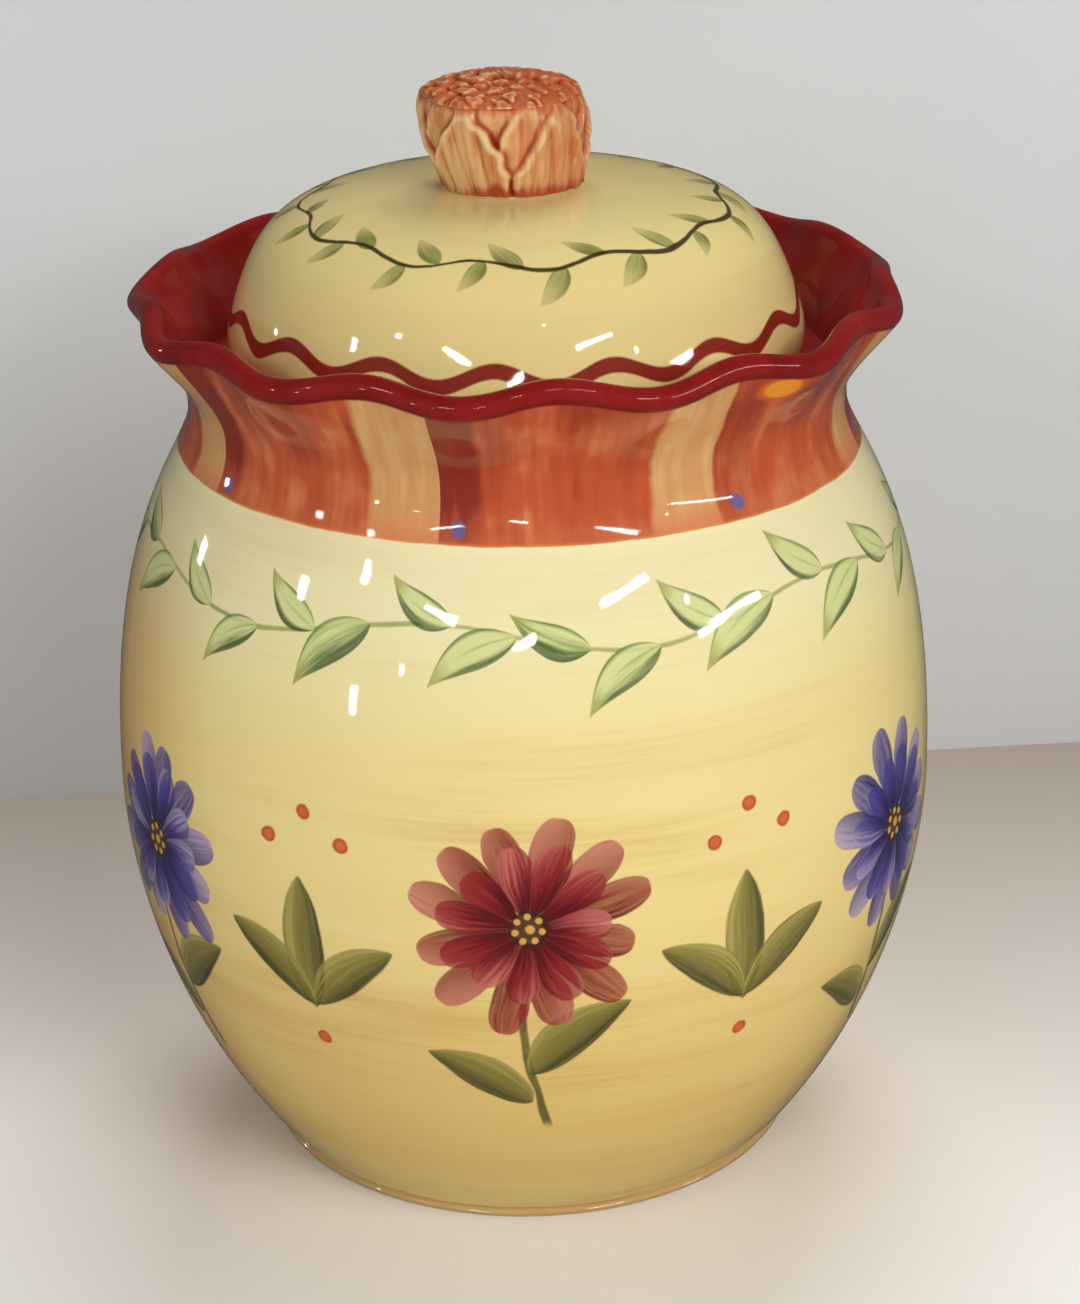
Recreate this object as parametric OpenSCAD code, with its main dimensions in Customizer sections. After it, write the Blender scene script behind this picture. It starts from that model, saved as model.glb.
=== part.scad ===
// Biscuit jar: a round-bellied stoneware jar with a pie-crust lip, a domed lid that
// drops into the mouth and rests on an inner ledge, and a modelled leaf-wrapped knob.
// Z is up, the foot stands on z = 0 and the middle of the jar is x = y = 0.

/* [Foot] */
// Outer radius of the foot ring
foot_r = 64.1; // [60:0.1:70]
// Width of the foot ring that touches the table
foot_ring_w = 7.5; // [4:0.5:12]
// Height of the foot ring up to its turned groove
foot_h = 2; // [2:0.1:6]
// Depth of the turned groove above the foot ring
foot_groove = 0.7; // [0.4:0.1:1.5]
// Depth of the hollow under the floor
foot_hollow = 3; // [2:0.5:4.5]

/* [Belly] */
// Radius of the belly at its widest
belly_r = 95.8; // [90:0.1:104]
// Height of the widest point of the belly
belly_z = 90.6; // [78:0.2:102]
// Radius where the belly leaves the foot groove
base_r = 64.3; // [61:0.1:71]
// Angle at which the belly leaves the foot, from upright
base_lean = 38.2; // [20:0.2:50]
// Pull of the lower curve at the foot
base_pull = 41.9; // [24:0.1:48]
// Pull of the lower curve at the belly
belly_pull_low = 17.1; // [12:0.1:36]
// Pull of the shoulder curve at the belly
belly_pull_high = 67.8; // [50:0.2:72]
// Pull of the shoulder curve at the waist
waist_pull = 13.1; // [6:0.1:20]

/* [Waist and lip] */
// Outer radius of the waist, the narrowest part of the neck
waist_r = 74.9; // [71:0.1:80]
// Height of the waist
waist_z = 181.2; // [175:0.2:186]
// Height of the straight neck above the waist, where the lip starts
neck_rise = 2; // [1:0.5:4]
// Upward pull of the neck before it flares
neck_pull = 7; // [4:0.5:11]
// How far the middle of the lip's roll stands out beyond the waist
lip_flare = 8.6; // [6:0.1:12]
// Height of the middle of the lip's roll above the waist
lip_rise = 23.2; // [19:0.1:27]
// Radius of the lip's rounded roll
lip_roll_r = 2.7; // [1.8:0.1:3]
// Number of pinched waves round the lip
waves = 13; // [9:1:16]
// How far a wave swings in and out
wave_out = 1.4; // [0:0.1:2.2]
// How far a wave swings up and down
wave_up = 1.3; // [0:0.1:2.2]
// Angle of the lip above level, mean
lip_slope = 62; // [45:1:75]
// Change of that angle between the crest and the hollow of a wave
lip_slope_swing = 8; // [0:1:14]
// Length over which the lip follows that angle
lip_pull = 7.5; // [5:0.5:10]
// Turn of the nearest low wave from the middle of the front
wave_turn = -8.3; // [-13:0.1:13]

/* [Walls] */
// Wall of the belly
wall = 5.5; // [4.5:0.1:6.5]
// Wall of the neck where the lip starts
neck_wall = 4.8; // [4.4:0.1:5.5]
// Thickness of the floor above the foot hollow
floor_t = 6; // [4.5:0.5:9]

/* [Lid seat] */
// Height of the ledge that the lid rests on, above the waist
ledge_up = 6.8; // [5:0.2:9]
// Width of the ledge inside the neck
ledge_w = 13.6; // [11:0.2:15]
// Thickness of the ledge at its inner edge
ledge_t = 5; // [4:0.5:7]
// Gap between the lid's locating ring and the opening
lid_fit = 1.5; // [1:0.1:2]

/* [Lid] */
// Gap between the lid's edge and the inside of the neck
lid_gap = 5.5; // [4:0.1:7]
// Height above the ledge where the lid's rounded edge meets the dome
lid_edge_up = 11.8; // [9:0.2:14]
// Height of the dome above that edge
dome_h = 29; // [24:0.5:34]
// Angle at which the dome leaves the edge, in from upright
dome_lean = 16.5; // [8:0.5:25]
// Pull of the dome's curve at the edge
dome_pull = 28.4; // [20:0.2:34]
// Pull of the dome's curve at the top, which makes it flat
dome_flat = 50; // [38:0.5:56]
// Wall of the lid
lid_wall = 5; // [4:0.1:6]
// Width of the flat rim under the lid that rests on the ledge
lid_rest_w = 5; // [4:0.1:6]
// Depth of the locating ring below the rest
ring_h = 7; // [4:0.5:10]
// Thickness of the locating ring
ring_t = 4.5; // [3.5:0.5:6]

/* [Knob] */
// Radius of the knob where it is joined to the lid
knob_base_r = 15.6; // [13:0.1:17.5]
// Radius of the knob at its shoulder
knob_top_r = 19.5; // [17:0.1:22]
// Height of the knob's side up to its shoulder
knob_side_h = 20; // [16:0.2:23]
// Height of the crown above the shoulder
crown_h = 5.2; // [3.6:0.1:7]
// Sideways lean of the knob's top
knob_lean = 2.9; // [0:0.1:4]
// Number of leaves wrapped round the knob
leaves = 5; // [4:1:7]
// Thickness of a leaf's edge
leaf_t = 1.1; // [0.6:0.1:1.5]
// Height at which two neighbouring leaves part
leaf_split = 4.5; // [3:0.5:8]
// Number of ribs drawn up the leaves
ribs = 20; // [16:2:30]
// Depth of the ribs
rib_d = 0.35; // [0.2:0.05:0.5]
// Number of curls on the crown
lumps = 26; // [14:1:34]
// Radius of a curl
lump_r = 3; // [2.2:0.1:4]
// Height of a curl
lump_h = 1.6; // [0.5:0.1:2]

/* [Hidden] */
$fn = 180;

glaze_yellow = [0.89, 0.81, 0.56];
glaze_knob = [0.82, 0.55, 0.33];

// steps along each drawn curve
curve_steps = 26;
// facets round one wave of the lip, and rows of facets along its section
wave_facets = 12;
lip_rows_out = 11;
lip_rows_roll = 6;
lip_rows_in = 7;
// facets round the knob, and rows up its side and over its crown
knob_facets = 96;
knob_rows = 17;
crown_rows = 9;
// steps along the dome
dome_rows = 36;
// the lip's foot is let into the neck by this much, just inside its surface
let_in = 1.5;
set_in = 0.03;

lip_start_z = waist_z + neck_rise;
lip_r = waist_r + lip_flare;
lip_z = waist_z + lip_rise;
shoulder_r = waist_r - neck_wall / 2 - 0.3;
ledge_r = waist_r - neck_wall - ledge_w;
ledge_z = waist_z + ledge_up;
ring_r = ledge_r - lid_fit;
lid_r = waist_r - neck_wall - lid_gap;
lid_edge_z = ledge_z + lid_edge_up;
knob_seat_r = knob_base_r + 1.2;

// ---------------------------------------------------------------- curves

// a point on a cubic curve through a and d, pulled by b and c
function cubic(a, b, c, d, t) =
    pow(1 - t, 3) * a + 3 * pow(1 - t, 2) * t * b + 3 * (1 - t) * t * t * c + pow(t, 3) * d;

// the direction of that curve
function cubic_way(a, b, c, d, t) =
    let (v = pow(1 - t, 2) * (b - a) + 2 * (1 - t) * t * (c - b) + t * t * (d - c))
    v / norm(v);

// the right-hand side of a direction in the (radius, height) plane: outward for a rising curve
function outward(v) = [v[1], -v[0]];

function smooth(a, b, x) =
    let (t = max(0, min(1, (x - a) / (b - a))))
    t * t * (3 - 2 * t);

function wrap(a, p) = a - p * round(a / p);

// the belly's lower curve, foot groove to widest point, moved in by depth
function low_curve(t, depth) =
    let (
        a = [base_r, foot_h + 1],
        b = a + base_pull * [sin(base_lean), cos(base_lean)],
        d = [belly_r, belly_z],
        c = d - [0, belly_pull_low]
    )
    cubic(a, b, c, d, t) - depth * outward(cubic_way(a, b, c, d, t));

// the belly's upper curve, widest point to waist, moved in by depth
function high_curve(t, depth) =
    let (
        a = [belly_r, belly_z],
        b = a + [0, belly_pull_high],
        d = [waist_r, waist_z],
        c = d - [0, waist_pull]
    )
    cubic(a, b, c, d, t) - depth * outward(cubic_way(a, b, c, d, t));

// ---------------------------------------------------------------- ruffled lip

// swing of the waves at an angle round the jar: 1 at a low wave that stands out, -1 between
function swing(a) = cos(waves * (a + 90 - wave_turn));

// the four points that draw the middle of the lip's wall at an angle
function lip_draw(a) =
    let (
        s = swing(a),
        m = [lip_r + wave_out * s, lip_z - wave_up * s],
        slope = lip_slope - lip_slope_swing * s
    )
    [
        [waist_r - neck_wall / 2, lip_start_z],
        [waist_r - neck_wall / 2, lip_start_z + neck_pull],
        m - lip_pull * [cos(slope), sin(slope)],
        m
    ];

// a point on the lip's wall: side is 1 for the outer face and -1 for the lining
function lip_face(a, t, side) =
    let (
        p = lip_draw(a),
        half = (neck_wall / 2) * (1 - t) + lip_roll_r * t
    )
    cubic(p[0], p[1], p[2], p[3], t) + side * half * outward(cubic_way(p[0], p[1], p[2], p[3], t));

// a point on the lip's round edge: turn runs from 0 at the outer face to 180 at the lining
function lip_edge(a, turn) =
    let (
        p = lip_draw(a),
        way = cubic_way(p[0], p[1], p[2], p[3], 1)
    )
    p[3] + lip_roll_r * (cos(turn) * outward(way) + sin(turn) * way);

// one section through the lip, as a closed ring of (radius, height) points
function lip_section(a) = concat(
    [[waist_r - 0.5, lip_start_z - let_in]],
    [[waist_r - set_in, lip_start_z + 0.1]],
    [for (i = [1:lip_rows_out]) lip_face(a, pow(i / lip_rows_out, 0.85), 1)],
    [for (i = [1:lip_rows_roll]) lip_edge(a, 180 * i / (lip_rows_roll + 1))],
    [for (i = [0:lip_rows_in - 1]) lip_face(a, 1 - 0.86 * pow(i / (lip_rows_in - 1), 1.1), -1)],
    [[waist_r - neck_wall + 0.4, lip_start_z - let_in + 0.3]]
);

module ruffled_lip() {
    n = waves * wave_facets;
    sections = [for (i = [0:n - 1]) lip_section(360 * i / n)];
    m = len(sections[0]);
    points = [
        for (i = [0:n - 1], j = [0:m - 1])
            let (a = 360 * i / n, p = sections[i][j])
            [p[0] * cos(a), p[0] * sin(a), p[1]]
    ];
    faces = [
        for (i = [0:n - 1], j = [0:m - 1])
            let (
                i2 = (i + 1) % n,
                j2 = (j + 1) % m,
                a = i * m + j,
                b = i2 * m + j,
                c = i2 * m + j2,
                d = i * m + j2
            )
            each [[a, c, b], [a, d, c]]
    ];
    polyhedron(points, faces);
}

// ---------------------------------------------------------------- jar

// the wall of the foot, belly and neck with the ledge, as one turned outline
module turned_wall() {
    ring_in = foot_r - foot_ring_w;
    outer = concat(
        [
            [0, foot_hollow],
            [ring_in - 3, foot_hollow],
            [ring_in - 0.6, 1],
            [ring_in + 0.6, 0],
            [foot_r - 0.7, 0],
            [foot_r, 0.7],
            [foot_r, foot_h - 0.5],
            [foot_r - foot_groove, foot_h],
            [foot_r - foot_groove, foot_h + 0.5]
        ],
        [for (i = [0:curve_steps]) low_curve(i / curve_steps, 0)],
        [for (i = [1:curve_steps]) high_curve(i / curve_steps, 0)],
        [[waist_r, lip_start_z]]
    );
    ledge = [
        [shoulder_r, lip_start_z],
        [shoulder_r, ledge_z],
        [ledge_r + 0.8, ledge_z],
        [ledge_r, ledge_z - 0.8],
        [ledge_r, ledge_z - ledge_t],
        [ledge_r + 1.5, ledge_z - ledge_t - 1.5],
        [waist_r - wall - 3, ledge_z - ledge_t - 7.5]
    ];
    floor_z = foot_hollow + floor_t;
    inner_low = [for (i = [0:curve_steps]) low_curve(i / curve_steps, wall)];
    inner = concat(
        [for (i = [curve_steps - 4:-1:1]) high_curve(i / curve_steps, wall)],
        [for (i = [curve_steps:-1:0]) if (inner_low[i][1] > floor_z + 5) inner_low[i]],
        [for (i = [1:4]) floor_corner(floor_z, i / 4)],
        [[0, floor_z]]
    );
    rotate_extrude() polygon(concat(outer, ledge, inner));
}

// the rounded corner between the wall and the floor inside
function floor_corner(floor_z, t) =
    let (
        top = low_curve((floor_z + 5 - foot_h) / belly_z * 0.9, wall),
        foot = [top[0] - 10, floor_z],
        corner = [top[0] - 3.2, floor_z]
    )
    (1 - t) * (1 - t) * [top[0] - 1, floor_z + 4.4] + 2 * (1 - t) * t * corner + t * t * foot;

module jar_body() {
    color(glaze_yellow)
    union() {
        turned_wall();
        ruffled_lip();
    }
}

// ---------------------------------------------------------------- lid

// the dome's curve from the lid's edge to its middle, moved in by depth
function dome(t, depth) =
    let (
        a = [lid_r, lid_edge_z],
        b = a + dome_pull * [-sin(dome_lean), cos(dome_lean)],
        d = [0, lid_edge_z + dome_h],
        c = d + [dome_flat, 0]
    )
    cubic(a, b, c, d, t) - depth * outward(cubic_way(a, b, c, d, t));

// the steps of that curve that lie outside the knob's seat, and the height of the seat
dome_steps = [for (i = [1:dome_rows]) if (dome(i / dome_rows, 0)[0] > knob_seat_r + 0.8) i / dome_rows];
dome_top_z = dome(dome_steps[len(dome_steps) - 1], 0)[1] + 0.12;

module lid() {
    rest_r = ring_r + 0.4 + lid_rest_w;
    edge_way = [sin(dome_lean), -cos(dome_lean)];
    outer = concat(
        [
            [ring_r - 0.8, ledge_z - ring_h],
            [ring_r, ledge_z - ring_h + 0.8],
            [ring_r, ledge_z]
        ],
        [
            for (i = [0:10])
                cubic(
                    [rest_r, ledge_z],
                    [rest_r + 2.4, ledge_z],
                    [lid_r, lid_edge_z] + 7.5 * edge_way,
                    [lid_r, lid_edge_z],
                    i / 10
                )
        ],
        [for (t = dome_steps) dome(t, 0)],
        [[knob_seat_r, dome_top_z], [0, dome_top_z]]
    );
    hollow = dome(0, lid_wall);
    inner = concat(
        [[0, lid_edge_z + dome_h - lid_wall]],
        [for (i = [dome_rows - 2:-1:0]) dome(i / dome_rows, lid_wall)],
        [
            for (i = [1:8])
                cubic(
                    hollow,
                    hollow + 4 * edge_way,
                    [ring_r - ring_t, ledge_z + 5],
                    [ring_r - ring_t, ledge_z - 1.5],
                    i / 8
                )
        ],
        [[ring_r - ring_t, ledge_z - ring_h + 0.6], [ring_r - ring_t + 0.6, ledge_z - ring_h]]
    );
    color(glaze_yellow)
    rotate_extrude() polygon(concat(outer, inner));
}

// ---------------------------------------------------------------- knob

// how far an angle lies from the edge of the opening between two leaves: below 0 is inside it
function leaf_edge(a, z, middle, from, spread) =
    abs(wrap(a + 90 - middle, 360 / leaves)) - max(0, z - from) * spread;

// relief of one ring of leaves: the opening is sunk and each edge is rolled up beside it
function leaf_ring(edge, z, from) =
    leaf_t * smooth(from - 1.5, from + 2.5, z)
        * (0.5 * exp(-pow((edge - 4) / 4, 2)) + smooth(-5, 3, edge) - 1);

// relief of the knob's side: outer leaves, inner leaves behind them, and ribs drawn up both
function leaf_relief(a, z) =
    let (
        outer = leaf_edge(a, z, 2, leaf_split, 2.5),
        inner = leaf_edge(a, z, -9, leaf_split + 6.5, 2.1),
        open = 1 - smooth(-5, 3, outer),
        seam = exp(-pow(wrap(a + 88, 360 / leaves) / 3.5, 2)) * (1 - smooth(3, 6, z)),
        rib = rib_d * (2 * pow(abs(sin(ribs / 2 * a + 12 * sin(2 * a))), 0.7) - 1.3)
    )
    rib * (1 - 0.6 * open) + leaf_ring(outer, z, leaf_split) - 0.5 * leaf_t * seam
        + open * leaf_ring(inner, z, leaf_split + 6.5);

// the knob's smooth side before relief
function knob_side_r(z) =
    knob_base_r + (knob_top_r - knob_base_r) * pow(sin(90 * min(1, z / knob_side_h)), 0.85);

// the curls on the crown: small round lumps set out in a spiral, the tallest one counting
function curls(x, y) =
    lump_h * max([
        for (k = [1:lumps])
            let (
                r = (knob_top_r - 1.5) * sqrt(k / lumps),
                dx = x - r * cos(137.5 * k),
                dy = y - r * sin(137.5 * k),
                d = (dx * dx + dy * dy) / (lump_r * lump_r)
            )
            d < 1 ? sqrt(1 - d) : 0
    ]);

// a point on row j of the knob's side at angle a
function side_point(a, j) =
    let (
        z = knob_side_h * j / knob_rows,
        r = knob_side_r(z) + leaf_relief(a, z) * smooth(-1, 1.5, z) - (j == 0 ? 0.4 : 0)
    )
    [r * cos(a), r * sin(a), z];

// a point on row j of the crown, which closes the knob inward from the shoulder
function crown_point(a, j) =
    let (
        t = j / (crown_rows + 1),
        r = (knob_top_r + leaf_relief(a, knob_side_h) * (1 - t)) * pow(cos(90 * t), 0.8),
        x = r * cos(a),
        y = r * sin(a),
        dish = crown_h - lump_h
    )
    [x, y, knob_side_h + dish * pow(sin(90 * t), 1.1) + curls(x, y) * smooth(-0.1, 0.3, t)];

// leans a point of the knob to one side, more the higher it is
function lean(p) = [p[0] - knob_lean * p[2] / (knob_side_h + crown_h), p[1], p[2]];

module lid_knob() {
    n = knob_facets;
    m = knob_rows + crown_rows;
    points = concat(
        [for (j = [0:knob_rows], i = [0:n - 1]) lean(side_point(360 * i / n, j))],
        [for (j = [1:crown_rows], i = [0:n - 1]) lean(crown_point(360 * i / n, j))],
        [[0, 0, 0], lean([0, 0, knob_side_h + crown_h - lump_h * 0.6])]
    );
    low = (m + 1) * n;
    top = low + 1;
    side = [
        for (j = [0:m - 1], i = [0:n - 1])
            let (i2 = (i + 1) % n, a = j * n + i, b = j * n + i2, c = b + n, d = a + n)
            each [[a, c, b], [a, d, c]]
    ];
    base = [for (i = [0:n - 1]) [low, i, (i + 1) % n]];
    crown = [for (i = [0:n - 1]) [top, m * n + (i + 1) % n, m * n + i]];
    color(glaze_knob)
    translate([0, 0, dome_top_z])
    polyhedron(points, concat(side, base, crown));
}

jar_body();
lid();
lid_knob();
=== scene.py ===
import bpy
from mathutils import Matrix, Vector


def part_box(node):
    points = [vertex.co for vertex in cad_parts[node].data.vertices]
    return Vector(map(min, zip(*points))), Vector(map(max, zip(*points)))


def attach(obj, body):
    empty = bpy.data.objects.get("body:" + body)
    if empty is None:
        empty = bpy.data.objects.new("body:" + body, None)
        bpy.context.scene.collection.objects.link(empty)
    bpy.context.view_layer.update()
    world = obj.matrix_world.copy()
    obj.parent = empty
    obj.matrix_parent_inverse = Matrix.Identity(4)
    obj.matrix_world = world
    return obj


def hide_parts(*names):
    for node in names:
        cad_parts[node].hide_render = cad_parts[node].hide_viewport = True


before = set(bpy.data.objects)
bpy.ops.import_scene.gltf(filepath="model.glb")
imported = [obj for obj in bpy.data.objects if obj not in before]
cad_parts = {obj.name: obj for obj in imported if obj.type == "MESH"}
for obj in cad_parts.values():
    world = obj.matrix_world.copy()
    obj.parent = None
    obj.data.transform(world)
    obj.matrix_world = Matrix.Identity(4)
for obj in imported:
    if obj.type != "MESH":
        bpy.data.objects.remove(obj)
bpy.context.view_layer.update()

import math
import bpy
import numpy as np
from mathutils import Matrix

# ------------------------------------------------------------------ belly
# The round belly with its turned foot, slip-cast in buff stoneware. It is dipped in a
# clear yellow glaze over brushed underglaze colours: a running vine on the shoulder and
# a frieze of rosettes, lance leaves and dots below it.

# Sizes are in mm and angles in degrees. A point of a section is (radius, height), and a
# turn is the angle round the pot from its front.
MM = 0.001
DEGREES = 180 / math.pi
BELLY_TURNS = 288
FOOT_R, FOOT_RING_W, FOOT_GROOVE, FOOT_HOLLOW = 64.1, 7.5, 0.7, 3.0
BASE, BASE_LEAN, BASE_PULL = (64.3, 3.0), 38.2, 41.9
WIDEST, PULL_BELOW, PULL_ABOVE = (95.76, 90.6), 17.1, 67.8
WAIST, WAIST_PULL = (74.9, 181.2), 13.1
WALL, FLOOR_T, FLOOR_CORNER = 5.5, 6.0, 9.0
COLLAR_Z, SEAM = 169.6, 0.2


def drawn(a, b, c, d, t):
    """Points of the cubic curve through a and d, pulled by b and c."""
    a, b, c, d = (np.array(p, float) for p in (a, b, c, d))
    t = np.asarray(t, float)[:, None]
    return (1 - t) ** 3 * a + 3 * (1 - t) ** 2 * t * b + 3 * (1 - t) * t * t * c + t ** 3 * d


def drawn_way(a, b, c, d, t):
    """The direction of that curve at each point."""
    a, b, c, d = (np.array(p, float) for p in (a, b, c, d))
    t = np.asarray(t, float)[:, None]
    way = (1 - t) ** 2 * (b - a) + 2 * (1 - t) * t * (c - b) + t * t * (d - c)
    return way / np.linalg.norm(way, axis=1, keepdims=True)


def moved_in(points, way, depth):
    """Points moved square to the curve, towards the inside of the pot."""
    return points - depth * np.stack([way[:, 1], -way[:, 0]], 1)


def belly_profile(steps, depth):
    """The belly from the foot to the waist, as (radius, height) in mm."""
    t = np.linspace(0, 1, steps)
    lean = math.radians(BASE_LEAN)
    low = (BASE, (BASE[0] + BASE_PULL * math.sin(lean), BASE[1] + BASE_PULL * math.cos(lean)),
           (WIDEST[0], WIDEST[1] - PULL_BELOW), WIDEST)
    high = (WIDEST, (WIDEST[0], WIDEST[1] + PULL_ABOVE), (WAIST[0], WAIST[1] - WAIST_PULL), WAIST)
    parts = [moved_in(drawn(*curve, t), drawn_way(*curve, t), depth) for curve in (low, high)]
    return np.vstack([parts[0], parts[1][1:]])


def placed(name, data):
    """A new object in the scene."""
    made = bpy.data.objects.new(name, data)
    bpy.context.scene.collection.objects.link(made)
    return made


def turned_piece(name, sections, sharp=38, ring=False):
    """A mesh turned from sections (angles, rows, 2) in mm; a ring has no points on the axis."""
    turns, rows = sections.shape[:2]
    angle = np.arange(turns) * 2 * np.pi / turns
    r, z = sections[:, :, 0] * MM, sections[:, :, 1] * MM
    first, last = (0, rows) if ring else (1, rows - 1)
    sine, cosine = np.sin(angle)[:, None], np.cos(angle)[:, None]
    points = np.stack([r * sine, -r * cosine, z], 2)[:, first:last]
    count = last - first
    near = np.arange(turns)
    far = (near + 1) % turns
    faces = []
    for j in range(count if ring else count - 1):
        k = (j + 1) % count
        corners = near * count + j, far * count + j, far * count + k, near * count + k
        faces += np.stack(corners, 1).tolist()
    points = points.reshape(-1, 3).tolist()
    if not ring:
        points += [[0, 0, z[0, 0]], [0, 0, z[0, -1]]]
        bottom = len(points) - 2
        faces += [[bottom, int(b) * count, int(a) * count] for a, b in zip(near, far)]
        faces += [[bottom + 1, int(a) * count + count - 1, int(b) * count + count - 1]
                  for a, b in zip(near, far)]
    mesh = bpy.data.meshes.new(name)
    mesh.from_pydata(points, [], faces)
    mesh.polygons.foreach_set("use_smooth", [True] * len(mesh.polygons))
    mesh.set_sharp_from_angle(angle=math.radians(sharp))
    return placed(name, mesh)


def keep_numbers(piece, name, values):
    """A number kept on every point of a piece, for its paint to read."""
    kept = piece.data.attributes.new(name, "FLOAT", "POINT").data
    kept.foreach_set("value", np.asarray(values, np.float32))


def mark_rows(piece, name, marks, turns, ends=()):
    """The same number all round each row of a turned piece; ends are for its axis points."""
    keep_numbers(piece, name, np.concatenate([np.tile(np.asarray(marks, float), turns), ends]))


class Amount:
    """A number or colour that varies over the glaze, worked out by shader nodes."""

    def __init__(self, paint, socket):
        self.paint, self.socket = paint, socket

    def __add__(self, other): return self.paint.math("ADD", self, other)
    def __radd__(self, other): return self.paint.math("ADD", other, self)
    def __sub__(self, other): return self.paint.math("SUBTRACT", self, other)
    def __rsub__(self, other): return self.paint.math("SUBTRACT", other, self)
    def __mul__(self, other): return self.paint.math("MULTIPLY", self, other)
    def __rmul__(self, other): return self.paint.math("MULTIPLY", other, self)
    def __truediv__(self, other): return self.paint.math("DIVIDE", self, other)
    def __neg__(self): return self.paint.math("MULTIPLY", self, -1.0)
    def __abs__(self): return self.paint.math("ABSOLUTE", self)
    def power(self, other): return self.paint.math("POWER", self, other)
    def least(self, other): return self.paint.math("MINIMUM", self, other)
    def most(self, other): return self.paint.math("MAXIMUM", self, other)
    def floor(self): return self.paint.math("FLOOR", self)
    def sin(self): return self.paint.math("SINE", self * (1 / DEGREES))
    def cos(self): return self.paint.math("COSINE", self * (1 / DEGREES))
    def over(self, low, high): return self.paint.ramp(self, low, high)


CLAY_ROUGH, CLAY_SHEEN, NOISE_SPREAD = 0.45, 0.1, 3.0


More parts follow.
